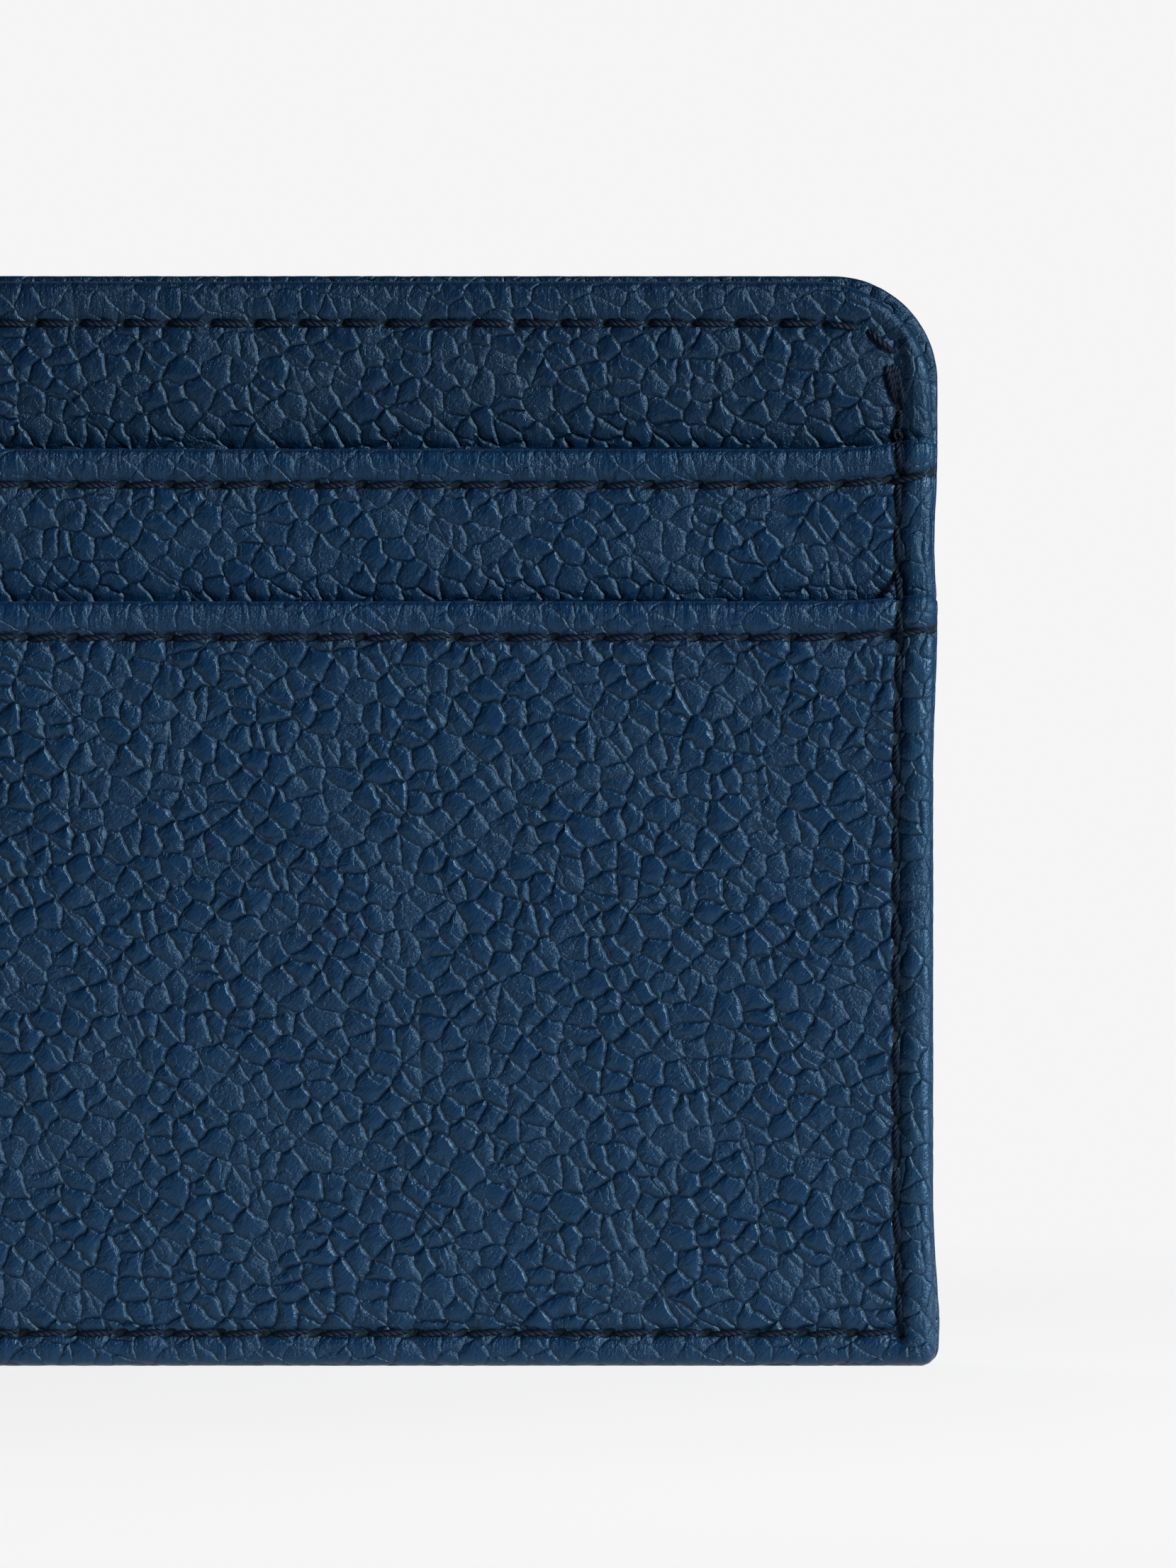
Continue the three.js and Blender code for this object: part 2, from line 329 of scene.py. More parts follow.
def pebble(t, skin):
    """From flat skin coordinates in mm: the pebbles' swell, their creases and a slow variation.

    Each pebble rises towards its upper right and drops steeply there, like a scale rounded by wear.
    """
    warp = t.vector("SUBTRACT", t.noise(skin, 0.45, 2.0, 0.6, colour=True), (0.5, 0.5, 0.5))
    wobble = t.vector("SUBTRACT", t.noise(skin, 1.3, 1.0, 0.5, colour=True), (0.5, 0.5, 0.5))
    bent = t.vector("ADD", skin, t.vector("SCALE", warp, scale=1.1))
    bent = t.vector("ADD", bent, t.vector("SCALE", wobble, scale=0.32))
    x, z, _ = t.split(bent)
    c, s = math.cos(GRAIN_TILT), math.sin(GRAIN_TILT)
    along = t.add(t.mul(x, c), t.mul(z, -s))
    across = t.add(t.mul(x, s), t.mul(z, c))
    place = t.join(t.mul(along, 0.86), across)
    edge, centre = t.cells(place, 1 / CELL, 0.88, centre=True)
    small = t.cells(t.join(along, t.add(across, 31.0)), 1.9 / CELL, 1.0)
    fold = t.cells(t.join(t.mul(along, 0.4), t.add(across, 57.0)), 1 / FOLD, 1.0)
    vary = t.noise(skin, 0.21, 2.0)
    reach_along, reach_across, _ = t.split(t.vector("SUBTRACT", place, centre))
    climb = t.ramp(t.add(t.mul(reach_along, 0.3), t.mul(reach_across, 0.95)), -0.6, 0.5)
    strength = t.ramp(vary, 0.35, 0.6, 0.5, 1.0)
    swell = t.mul(rounded(t, edge, t.math("SUBTRACT", 0.85, t.mul(climb, 0.57))), strength)
    where_small = t.ramp(t.noise(skin, 0.4, 1.0), 0.42, 0.58)
    small_swell = rounded(t, small, 0.34)
    swell = t.add(swell, t.mul(t.math("SUBTRACT", small_swell, 1.0), where_small, 0.07))
    fold_swell = rounded(t, fold, 0.45)
    swell = t.add(swell, t.mul(t.math("SUBTRACT", fold_swell, 1.0), 0.2))
    small_crease = t.mul(crease(t, small, 0.1), where_small, 0.3)
    deep = t.math("MAXIMUM", t.mul(crease(t, edge, 0.17), strength), t.mul(crease(t, fold, 0.2), 0.6))
    creases = t.math("MAXIMUM", deep, small_crease)
    return swell, creases, vary


def grain_finish_group():
    """The finish's side of the grain: fine height, crease mask and tone."""
    group, t, entry, leave = new_group(
        "Pebble grain", "ShaderNodeTree",
        [("Skin", "NodeSocketVector", None), ("Shift", "NodeSocketVector", None),
         ("Calm", "NodeSocketFloat", 0.0)],
        [("Height", "NodeSocketFloat"), ("Crease", "NodeSocketFloat"), ("Tone", "NodeSocketFloat")])
    skin = t.vector("ADD", entry.outputs["Skin"], entry.outputs["Shift"])
    swell, creases, vary = pebble(t, skin)
    lively = t.math("SUBTRACT", 1.0, t.mul(entry.outputs["Calm"], 0.72))
    creases = t.mul(creases, lively)
    wrinkle = t.noise(skin, 4.6, 3.0, 0.8)
    x, z, _ = t.split(skin)
    strands = t.join(t.mul(t.add(x, z), 0.8), t.mul(t.math("SUBTRACT", x, z), 2.6))
    hair = t.noise(strands, 1.5, 2.0, 0.6)
    rim = t.ramp(swell, 0.35, 1.0, 1.0, 0.35)
    drawn = t.noise(t.join(x, t.mul(z, 0.2)), 1.5, 3.0, 0.6)
    height = t.add(t.mul(drawn, entry.outputs["Calm"], FINE_DRAWN), t.mul(swell, lively, FINE_SWELL),
                   t.mul(creases, -FINE_CREASE), t.mul(wrinkle, rim, FINE_WRINKLE),
                   t.mul(hair, FINE_HAIR))
    t.feed(leave.inputs["Height"], height)
    t.feed(leave.inputs["Crease"], creases)
    t.feed(leave.inputs["Tone"], t.add(t.mul(vary, 0.6), t.mul(wrinkle, 0.4)))
    return group


def grain_relief_group():
    """The mesh's side of the grain, as a modifier."""
    group, t, entry, leave = new_group(
        "Pebble relief", "GeometryNodeTree",
        [("Geometry", "NodeSocketGeometry", None), ("Shift", "NodeSocketVector", None)],
        [("Geometry", "NodeSocketGeometry")])
    group.is_modifier = True

    def named(name, kind):
        return t.node("GeometryNodeInputNamedAttribute", {"data_type": kind}, {"Name": name}).outputs[0]

    skin = t.vector("ADD", named("skin", "FLOAT_VECTOR"), entry.outputs["Shift"])
    swell, creases, _ = pebble(t, skin)
    lively = t.math("SUBTRACT", 1.0, t.mul(named("calm", "FLOAT"), 0.75))
    height = t.add(t.mul(swell, MESH_SWELL), t.mul(creases, -MESH_CREASE))
    height = t.mul(height, lively, named("show", "FLOAT"), MM)
    offset = t.vector("SCALE", t.node("GeometryNodeInputNormal").outputs[0], scale=height)
    moved = t.node("GeometryNodeSetPosition",
                   inputs={"Geometry": entry.outputs["Geometry"], "Offset": offset})
    t.feed(leave.inputs["Geometry"], moved.outputs["Geometry"])
    return group


# ---- Leather: mesh -------------------------------------------------------------------------------

def soften_corner(x, z, cx, cz, size, radius, sx, sz):
    """Moves the points of one square corner so that its outer edge follows a round corner."""
    if radius <= 0.06:
        return x, z
    u, v = (x - cx) * sx / size, (z - cz) * sz / size
    inside = (u > 0) & (v > 0)
    big, small = np.maximum(u, v), np.minimum(u, v)
    big = np.where(inside, np.maximum(big, 1e-9), 1.0)
    t = np.where(inside, small / big, 0.0)
    rho = radius / size
    k = 1 - rho
    root = np.sqrt(np.maximum(k * k * (1 + t) ** 2 - (1 + t * t) * (2 * k * k - rho * rho), 0))
    reach = np.where(t > k, (k * (1 + t) + root) / (1 + t * t), 1.0)
    scale = np.where(inside, 1 + (reach - 1) * np.clip(big, 0, 1) ** 1.5, 1.0)
    return cx + (x - cx) * scale, cz + (z - cz) * scale


def resampled(profile, count):
    """The same profile with points added in its longest stretches until it has count points."""
    profile = [np.array(p, float) for p in profile]
    while len(profile) < count:
        lengths = [np.linalg.norm(b - a) for a, b in zip(profile, profile[1:])]
        i = int(np.argmax(lengths))
        profile.insert(i + 1, (profile[i] + profile[i + 1]) / 2)
    return np.array(profile)


def quarter(inset, depth, radius, outward, steps):
    """Points of a rounded edge seen in section: insets and depths."""
    points = []
    for i in range(steps + 1):
        angle = math.pi / 2 * i / steps
        if outward:
            points.append((inset - radius * math.sin(angle), depth - radius * (1 - math.cos(angle))))
        else:
            points.append((inset + radius * (1 - math.cos(angle)), depth - radius * math.sin(angle)))
    return points


class Leather:
    """One piece of leather: its outline, folds and relief, and where a point of it lies."""

    def __init__(self, half, name, low, high, face, top, bottom, relief, tuck=None, back=None,
                 rise=None, flare=None):
        self.half, self.name, self.low, self.high = half, name, low, high
        self.face, self.top, self.bottom, self.tuck, self.back = face, top, bottom, tuck, back
        self.relief, self.rise, self.flare = relief, rise, flare
        self.wide = half.wide
        self.slim = FRONT_SLIM if half.side < 0 else 0.0
        # where the flat face ends and its edges begin to round, and the corners' radii there
        self.x_edge, self.z_low, self.z_high = self.wide - EDGE_ROUND, low + EDGE_ROUND, high - EDGE_ROUND
        self.r_top = (half.top_corner if top == "wrap" else MOUTH_CORNER) - EDGE_ROUND
        self.r_low = (BOTTOM_CORNER if bottom == "wrap" else MOUTH_CORNER) - EDGE_ROUND

    # -- where a flat point lies
    def place(self, x, z, depth, facing):
        """Flat x, z and a depth become a point in mm; facing is how much the face's relief counts."""
        if self.tuck is not None:
            narrow = 1 - step01(z, self.tuck - 0.15, self.tuck + 0.15)
            x = x * (1 - narrow * TUCK_SLIM / self.wide)
        depth = depth - self.press(x, z, depth)
        x = x * (1 + (self.flare(z) if self.flare is not None else 0) / self.wide)
        if self.top == "wrap":
            above = step01(z, self.half.upper_mouth - 1, self.half.upper_mouth + 3)
            x = x * (1 - self.slim * above / self.wide)
        depth = depth + self.relief(x, z) * facing
        if self.top == "wrap":
            depth = depth + self.pleats(x, z) * (1 - facing) * (depth < self.face - 0.4)
        if self.rise is not None:
            z = z + self.rise(x, z)
        return np.stack([x, self.half.side * depth, z], axis=-1)

    def press(self, x, z, depth):
        """Below the tacks the seam holds the two halves' edges together, just outside the linings."""
        h = self.half
        rim = np.maximum(step01(np.abs(x), h.wide - 0.55, h.wide - 0.3), 1 - step01(z, 0.3, 0.55))
        held = 1 - step01(z, h.seam_end - 1.0, h.seam_end + 2.0)
        inner = 1 - step01(depth, h.flap_from, h.flap_from + 1.2)
        return (h.flap_from - EDGE_CLEAR) * rim * held * inner

    def pleats(self, x, z):
        """Behind a rounded top corner the turned-in leather is gathered in small pleats."""
        radius = self.half.top_corner
        dx, dz = np.abs(x) - (self.half.wide - radius), z - (self.half.top - radius)
        around = (dx > 0) & (dz > 0)
        angle, reach = np.arctan2(dz, np.maximum(dx, 1e-6)), np.hypot(dx, dz)
        fold = np.abs(np.sin(11 * angle + 0.6 * np.sin(5 * angle)))
        return around * 0.16 * (1 - fold) ** 1.5 * step01(reach, radius - 3.0, radius - 0.9)

    def at(self, x, z):
        x, z = np.atleast_1d(np.array(x, float)), np.atleast_1d(np.array(z, float))
        return self.place(x, z, np.full_like(x, self.face), 1.0)

    def over(self, x, z):
        """Depth of the face at real x, z, and whether this piece reaches that high."""
        flat = z
        for _ in range(4):
            flat = z - (self.rise(x, flat) if self.rise is not None else 0)
        return self.face + self.relief(x, flat), flat <= self.high

    # -- sections of the folded edges, as insets and depths
    def wrap_section(self):
        h = self.half
        inner = h.flap_from
        wall = [(0, d) for d in spaced(self.face - EDGE_ROUND, inner + INNER_ROUND, 0.45)[1:-1]]
        return (quarter(EDGE_ROUND, self.face, EDGE_ROUND, True, 5) + wall
                + quarter(0, inner + INNER_ROUND, INNER_ROUND, False, 3)
                + [(TURN_IN, inner), (TURN_IN, inner + FLAP), (LEATHER, inner + FLAP),
                   (LEATHER, self.face - LEATHER)])

    def hem_section(self):
        r = (self.face - self.back) / 2
        return ([(EDGE_ROUND, self.face)] + quarter(r, self.face, r, True, 4)
                + quarter(0, self.back + r, r, False, 3)[1:]
                + [(HEM_DEPTH, self.back), (HEM_DEPTH, self.back + FLAP), (LEATHER, self.back + FLAP),
                   (LEATHER, self.face - LEATHER)])

    def tucked_section(self):
        return ([(EDGE_ROUND, self.face), (0.1, self.face - 0.02), (0, self.face - 0.12),
                 (0, self.face - LEATHER + 0.02), (0.02, self.face - LEATHER),
                 (LEATHER, self.face - LEATHER)])

    def sections(self):
        """Each kind of edge as insets and depths, all with the same number of points."""
        made = {"wrap": self.wrap_section()}
        if self.back is not None:
            made["hem"] = self.hem_section()
        if "tucked" in (self.bottom, self.top) or self.tuck is not None:
            made["tucked"] = self.tucked_section()
        count = max(len(s) for s in made.values())
        return {kind: resampled(s, count) for kind, s in made.items()}

    # -- the mesh
    def flat_face(self):
        """The face laid flat, its corners rounded; returns it with its points and their rim."""
        xs = edge_spaced(-self.x_edge, self.x_edge, MESH_STEP)
        shown_from = self.tuck - 0.6 if self.tuck is not None else self.z_low
        zs = edge_spaced(shown_from, self.z_high, MESH_STEP)
        if self.tuck is not None:
            zs = np.concatenate([spaced(self.z_low, shown_from, HIDDEN_STEP)[:-1], zs])
        obj, x, z, rim = flat_grid(self.name, xs, zs)
        for sx in (-1, 1):
            for sz, edge, radius in ((1, self.z_high, self.r_top), (-1, self.z_low, self.r_low)):
                size = max(2 * radius, CORNER_STRETCH)
                corner = sx * (self.x_edge - size), edge - sz * size
                x, z = soften_corner(x, z, *corner, size, radius, sx, sz)
        write_points(obj.data, np.stack([x, z, np.zeros_like(x)], axis=1))
        return obj, x, z, rim

    def build(self):
        """The whole piece: its face, then its rim folded in one ring of faces for each step."""
        obj, x, z, rim = self.flat_face()
        sections = self.sections()
        count = len(sections["wrap"])
        activate(obj)
        bpy.ops.object.mode_set(mode="EDIT")
        bpy.ops.mesh.select_mode(type="EDGE")
        bpy.ops.mesh.select_all(action="SELECT")
        bpy.ops.mesh.region_to_loop()
        for _ in range(count - 1):
            bpy.ops.mesh.extrude_edges_move()
        bpy.ops.mesh.edge_face_add()
        bpy.ops.object.mode_set(mode="OBJECT")

        points = read_points(obj.data)
        rim_x, rim_z = x[rim], z[rim]
        normal_x, normal_z, kind = self.rim_facts(rim_x, rim_z)
        slot = {tuple(np.round(points[i, :2], 4)): n for n, i in enumerate(rim)}
        total, start = len(points), len(x)
        full_x, full_z = np.empty(total), np.empty(total)
        depth, facing, show = np.empty(total), np.empty(total), np.empty(total)
        skin = np.zeros((total, 3))
        full_x[:start], full_z[:start], depth[:start], facing[:start] = x, z, self.face, 1.0
        show[:start] = 1.0 if self.tuck is None else step01(z, self.tuck - 0.9, self.tuck - 0.3)
        skin[:start, 0], skin[:start, 1] = x, z
        for ring in range(1, count):
            first = start + (ring - 1) * len(rim)
            block = np.arange(first, first + len(rim))
            at = np.array([slot[tuple(np.round(points[i, :2], 4))] for i in block])
            for name, section in sections.items():
                mine = kind[at] == name
                i, b = block[mine], at[mine]
                inset, deep = section[ring]
                run = np.linalg.norm(np.diff(section[:ring + 1], axis=0), axis=1).sum()
                out = EDGE_ROUND - inset
                full_x[i], full_z[i] = rim_x[b] + normal_x[b] * out, rim_z[b] + normal_z[b] * out
                depth[i] = deep
                turned = np.clip((deep - self.face + EDGE_ROUND) / EDGE_ROUND, 0, 1)
                facing[i] = turned ** 0.5 if name != "tucked" else 0
                show[i] = float(name != "tucked" and inset < 0.5)
                skin[i, 0], skin[i, 1] = rim_x[b] + normal_x[b] * run, rim_z[b] + normal_z[b] * run
        set_attribute(obj.data, "skin", "FLOAT_VECTOR", skin)
        set_attribute(obj.data, "show", "FLOAT", show)
        set_attribute(obj.data, "calm", "FLOAT", self.calm(full_x, full_z))
        write_points(obj.data, self.place(full_x, full_z, depth, facing) * MM)
        activate(obj)
        face_outwards()
        bpy.ops.object.shade_smooth()
        return obj

    def rim_facts(self, x, z):
        """For each rim point: its outward direction and which fold it belongs to."""
        nx, nz = np.zeros_like(x), np.zeros_like(z)
        side = np.abs(x) > self.x_edge - 1e-4
        top, low = z > self.z_high - 1e-4, z < self.z_low + 1e-4
        nx[side], nz[top], nz[low] = np.sign(x[side]), 1, -1
        for edge, r, sz in ((self.z_high, self.r_top, 1), (self.z_low, self.r_low, -1)):
            cx, cz = self.x_edge - r, edge - sz * r
            arc = (np.abs(x) > cx + 1e-5) & ((z - cz) * sz > 1e-5)
            dx, dz = np.abs(x[arc]) - cx, z[arc] - cz
            size = np.hypot(dx, dz)
            nx[arc], nz[arc] = np.sign(x[arc]) * dx / size, dz / size
        kind = np.full(len(x), "wrap", dtype=object)
        steep = np.abs(nx) < 0.5
        kind[steep & (z > self.z_high - 0.5)] = self.top
        kind[steep & (z < self.z_low + 0.5)] = self.bottom
        if self.tuck is not None:
            kind[(z < self.tuck) & (z < self.z_high - 1)] = "tucked"
        if self.bottom == "tucked":
            kind[z < self.z_low + 0.5] = "tucked"
        return nx, nz, kind

    def calm(self, x, z):
        """Where the grain is pressed smooth: turned edges and hems."""
        h = self.half
        out = np.abs(x)
        rim = step01(out, h.wide - 2.6, h.wide - 1.6) * 0.58 + step01(out, h.wide - 0.9, h.wide) * 0.2
        if self.top == "hem":
            mouth = step01(z, self.high - 2.9, self.high - 2.2) * 0.8
        else:
            mouth = (step01(z, self.high - 3.0, self.high - 2.2) * 0.55
                     + step01(z, self.high - 0.9, self.high) * 0.2)
        sole = (1 - step01(z, h.seam_z - 0.6, h.seam_z)) * 0.6
        ground = 0.0 if self.bottom == "wrap" else 0.25
        return np.clip(np.maximum.reduce([rim, mouth, sole]) * (1 - ground) + ground, 0, 1)


# ---- Leather: relief -----------------------------------------------------------------------------

def pitch_of(length, wished):
    """The stitch length that fills a run exactly."""
    return length / max(1, round(length / wished))


def sewn(distance, along, pitch, pull=1.0):
    """How far a row of stitches pulls leather in, and how it puckers at each needle hole."""
    beat = 0.5 + 0.5 * np.cos(2 * math.pi * along / pitch)
    groove = (0.15 + 0.1 * beat) * np.exp(-(distance / 0.4) ** 2)
    pucker = 0.05 * beat ** 3 * np.exp(-((np.abs(distance) - 0.75) / 0.6) ** 2)
    return -pull * (groove + pucker)


def top_stitch_path(half, count=160):
    """Flat points of the top stitch: straight, then bending down to each tack."""
    reach = half.seam_x - STITCH_BEND
    drop = half.top_stitch - half.top_stitch_end
    angles = np.linspace(0, math.pi / 2, 24)
    right = np.stack([reach + STITCH_BEND * np.cos(angles),
                      half.top_stitch_end + drop * np.sin(angles)], axis=1)
    left = right[::-1] * (-1, 1)
    line = np.concatenate([right, left])
    run = np.concatenate([[0], np.cumsum(np.linalg.norm(np.diff(line, axis=0), axis=1))])
    even = np.linspace(0, run[-1], count)
    return np.stack([np.interp(even, run, line[:, 0]), np.interp(even, run, line[:, 1])], axis=1), run[-1]


def path_distance(x, z, path, length):
    """Distance to a path and the distance along it, for many points."""
    along = np.linspace(0, length, len(path))
    best, where = np.full(len(x), 1e9), np.zeros(len(x))
    for i, (px, pz) in enumerate(path):
        d = np.hypot(x - px, z - pz)
        near = d < best
        best[near], where[near] = d[near], along[i]
    return best, where


def side_seam(half, x, z):
    a = np.abs(x) - half.seam_x
    length = half.seam_end - half.seam_z
    pitch = pitch_of(length, STITCH_SIDE)
    begun = step01(z, half.seam_z - 1.2, half.seam_z - 0.2)
    ended = step01(z, half.seam_end - 0.2, half.seam_end + 0.6)
    margin = np.clip(a / (half.wide - half.seam_x), 0, 1)
    beat = 0.5 + 0.5 * np.cos(2 * math.pi * (z - half.seam_z) / pitch)
    pillow = 0.23 * np.sin(math.pi * margin ** 0.75) * (1 - 0.35 * beat * (1 - margin))
    return sewn(a, z - half.seam_z, pitch, 1.25) * begun * (1 - ended) + pillow


def hem_relief(z, mouth, stitch):
    """A turned mouth: a soft roll between its edge and its row of stitches."""
    t = np.clip((mouth - z) / (mouth - stitch), 0, 1)
    roll = 0.2 * np.sin(math.pi * t ** 0.85)
    step = 0.05 * (1 - step01(mouth - z, HEM_DEPTH - 0.8, HEM_DEPTH + 0.8))
    return roll + step


def waves(x, z, seed):
    """The slow unevenness of a soft, hand-turned piece."""
    return (0.05 * np.sin(x / 9.0 + seed) * np.cos(z / 7.0 + 2 * seed)
            + 0.07 * np.sin(x / 23.0 - 1.7 * seed + z / 15.0) + 0.03 * np.sin(x / 4.1 + z / 3.3 + 3 * seed))


def slot_dip(z, mouth, depth, reach):
    """Leather sinks towards the slot behind the next pocket's mouth."""
    return -depth * np.exp(-np.clip(z - mouth, 0, None) / reach)


def mouth_rise(mouth, lift):
    """A mouth climbs a little towards the side edges, where its end is turned in."""
    def rise(x, z):
        near = step01(z, mouth - 8.0, mouth - 1.5)
        return lift * np.clip((np.abs(x) - 44.0) / 8.3, 0, 1.1) ** 2.2 * near
    return rise


def panel_piece(half):
    path, length = top_stitch_path(half)
    pitch = pitch_of(length, STITCH_TOP)

    def relief(x, z):
        distance, along = path_distance(x, z, path, length)
        roll = 0.14 * np.sin(math.pi * np.clip((half.top - z) / (half.top - half.top_stitch), 0, 1) ** 0.8)
        tack = -0.2 * bump(np.abs(x), half.seam_x, 0.7) * step01(z, half.tack_low - 0.8, half.tack_low) * (
            1 - step01(z, half.tack_high - 0.6, half.tack_high + 0.4))
        body = 0.16 * bump(z, half.upper_mouth + 4.6, 2.6)
        return (sewn(distance, along, pitch) + roll + tack + body + waves(x, z, 1.0 + half.side)
                + side_seam(half, x, z) + slot_dip(z, half.upper_mouth, 0.42, 1.5))

    return Leather(half, f"{half.name}_panel_leather", half.panel_low, half.top, half.panel_face,
                   top="wrap", bottom="tucked", tuck=half.upper_mouth + 0.05, relief=relief)


def upper_pocket_piece(half):
    pitch = pitch_of(2 * half.wide, STITCH_MOUTH)

    def relief(x, z):
        return (hem_relief(z, half.upper_mouth, half.upper_stitch)
                + sewn(z - half.upper_stitch, x + half.wide, pitch) + side_seam(half, x, z)
                + waves(x, z, 2.3 + half.side) * 0.8 + slot_dip(z, half.lower_mouth, 0.38, 1.4))

    return Leather(half, f"{half.name}_upper_pocket_leather", half.upper_low, half.upper_mouth,
                   half.upper_face, top="hem", bottom="tucked", tuck=half.lower_mouth + 0.05,
                   back=half.panel_face + 0.08, relief=relief, rise=mouth_rise(half.upper_mouth, 0.95),
                   flare=lambda z: -0.2 * bump(z, half.lower_mouth + 3.5, 3.0))


def lower_pocket_piece(half):
    pitch = pitch_of(2 * half.wide, STITCH_MOUTH)
    bottom_pitch = pitch_of(2 * half.seam_x, STITCH_BOTTOM)

    def flare(z):
        waist = -0.28 * step01(z, 3.0, 11.0) * (1 - step01(z, 38.0, half.lower_mouth - 1))
        return waist + (0.12 * bump(z, 2.6, 2.0) if half.side > 0 else 0)

    def relief(x, z):
        within = 1 - step01(np.abs(x), half.seam_x - 0.1, half.seam_x + 0.5)
        sole = np.clip((half.seam_z - z) / half.seam_z, 0, 1)
        beat = 0.5 + 0.5 * np.cos(2 * math.pi * (x + half.seam_x) / bottom_pitch)
        pillow = 0.12 * np.sin(math.pi * sole ** 0.8) * (1 - 0.4 * beat * (1 - sole))
        return (hem_relief(z, half.lower_mouth, half.lower_stitch)
                + sewn(z - half.lower_stitch, x + half.wide, pitch)
                + sewn(z - half.seam_z, x + half.seam_x, bottom_pitch, 1.1) * within + pillow
                + side_seam(half, x, z) + waves(x, z, 3.9 + half.side)
                + 0.15 * bump(x, 0, 40) * bump(z, 24, 16))

    return Leather(half, f"{half.name}_lower_pocket_leather", 0.0, half.lower_mouth, half.lower_face,
                   top="hem", bottom="wrap", back=half.upper_face + 0.08,
                   relief=relief, rise=mouth_rise(half.lower_mouth, 0.6), flare=flare)


# ---- Threads -------------------------------------------------------------------------------------

SIDES = 8                  # points round a thread
HOLE = 0.24                # from a hole's middle to where the thread dives into it
SUNK = 0.3                 # how deep a stitch's ends go below the leather
SLANT = 0.13               # how far a stitch leans off its row
TACK_HOLE_RISE = 1.55      # the hole its threads run into, above the tack's low end
TAUT = 0.35                # how proud a stitch's middle line lies, in thread radii


def tube_mesh(rings):
    """A closed tube with this many rings of points, all at one place until it is laid along a path."""
    deselect()
    bpy.ops.mesh.primitive_circle_add(vertices=SIDES, radius=1)
    obj = bpy.context.object
    bpy.ops.object.mode_set(mode="EDIT")
    bpy.ops.mesh.select_mode(type="EDGE")
    bpy.ops.mesh.select_all(action="SELECT")
    bpy.ops.mesh.edge_face_add()
    bpy.ops.mesh.select_all(action="SELECT")
    for _ in range(rings - 1):
        bpy.ops.mesh.extrude_context_move(TRANSFORM_OT_translate={"value": (0, 0, 1)})
    bpy.ops.object.mode_set(mode="OBJECT")
    points = read_points(obj.data)
    height = np.round(points[:, 2]).astype(int)
    angle = np.arctan2(points[:, 1], points[:, 0])
    return obj, height, angle


TUBES = {}


def strand(path, radius, outward, start=0.0):
    """One length of thread along points in mm, tapering into its ends; returns the new object."""
    rings = len(path)
    if rings not in TUBES:
        TUBES[rings] = tube_mesh(rings)
    master, ring, angle = TUBES[rings]
    obj = master.copy()
    obj.data = master.data.copy()
    bpy.context.collection.objects.link(obj)
    ahead = np.gradient(path, axis=0)
    ahead /= np.linalg.norm(ahead, axis=1)[:, None]
    outward = np.broadcast_to(np.asarray(outward, float), path.shape)
    side = np.cross(ahead, outward)
    side /= np.maximum(np.linalg.norm(side, axis=1), 1e-6)[:, None]
    up = np.cross(side, ahead)
    size = radius * (0.66 + 0.38 * np.sin(math.pi * np.linspace(0, 1, rings)) ** 0.6)
    size *= 1 + 0.07 * np.sin(3.7 * path[:, 0] + 2.9 * path[:, 2])
    c, n = np.cos(angle)[:, None], np.sin(angle)[:, None]
    write_points(obj.data, (path[ring] + size[ring, None] * (c * side[ring] + 0.92 * n * up[ring])) * MM)
    run = np.concatenate([[0], np.cumsum(np.linalg.norm(np.diff(path, axis=0), axis=1))]) + start
    twist = np.stack([np.cos(angle), np.sin(angle), run[ring]], axis=1)
    set_attribute(obj.data, "twist", "FLOAT_VECTOR", twist)
    return obj


def taut_over(run, depth):
    """The line a pulled thread takes over a profile: the profile's upper hull."""
    keep = [0]
    for i in range(1, len(run)):
        while len(keep) > 1:
            a, b = keep[-2], keep[-1]
            rise = (depth[b] - depth[a]) * (run[i] - run[a]) - (depth[i] - depth[a]) * (run[b] - run[a])
            if rise > 0:
                break
            keep.pop()
        keep.append(i)
    return np.interp(run, run[keep], depth[keep])


def stitch(half, depth_at, a, b, rings=7, lean=SLANT):
    """A stitch on the face between the holes a and b, given as real x, z."""
    a, b = np.asarray(a, float), np.asarray(b, float)
    uneven = math.sin(a @ (5.1, 9.7)) * math.cos(b @ (3.3, 2.9))
    lean = lean * (1 + 0.45 * uneven)
    length = np.linalg.norm(b - a)
    along = (b - a) / length
    across = np.array([-along[1], along[0]])
    flip = np.sign(across[1]) if abs(across[1]) > 0.5 else -np.sign(across[0])
    u = np.linspace(0, 1, 25)
    gap = HOLE * 0.55
    line = a + along * gap + np.outer(u, along * (length - 2 * gap))
    hull = taut_over(u, depth_at(line[:, 0], line[:, 1]))
    v = 0.5 - 0.5 * np.cos(math.pi * np.linspace(0, 1, rings))
    v = 0.5 * v + 0.5 * np.linspace(0, 1, rings)
    dive = np.abs(2 * v - 1) ** 5
    depth = np.interp(v, u, hull) + THREAD / 2 * TAUT - (THREAD / 2 * TAUT + SUNK) * dive
    leaning = np.outer((v - 0.5) * 2 * lean * flip, across)
    flat = a + along * gap + np.outer(v, along * (length - 2 * gap)) + leaning
    path = np.stack([flat[:, 0], half.side * depth, flat[:, 1]], axis=1)
    return strand(path, THREAD / 2, (0, half.side, 0), start=float(a @ (7.3, 3.1)))


def joined(objects, name):
    deselect()
    for obj in objects:
        obj.select_set(True)
    bpy.context.view_layer.objects.active = objects[0]
    bpy.ops.object.join()
    whole = bpy.context.object
    whole.name = whole.data.name = name
    face_outwards()
    bpy.ops.object.shade_smooth()
    return whole


def holes_on(piece, flat):
    """Real x, z of needle holes given on a piece's flat outline."""
    return piece.at(flat[:, 0], flat[:, 1])[:, [0, 2]]


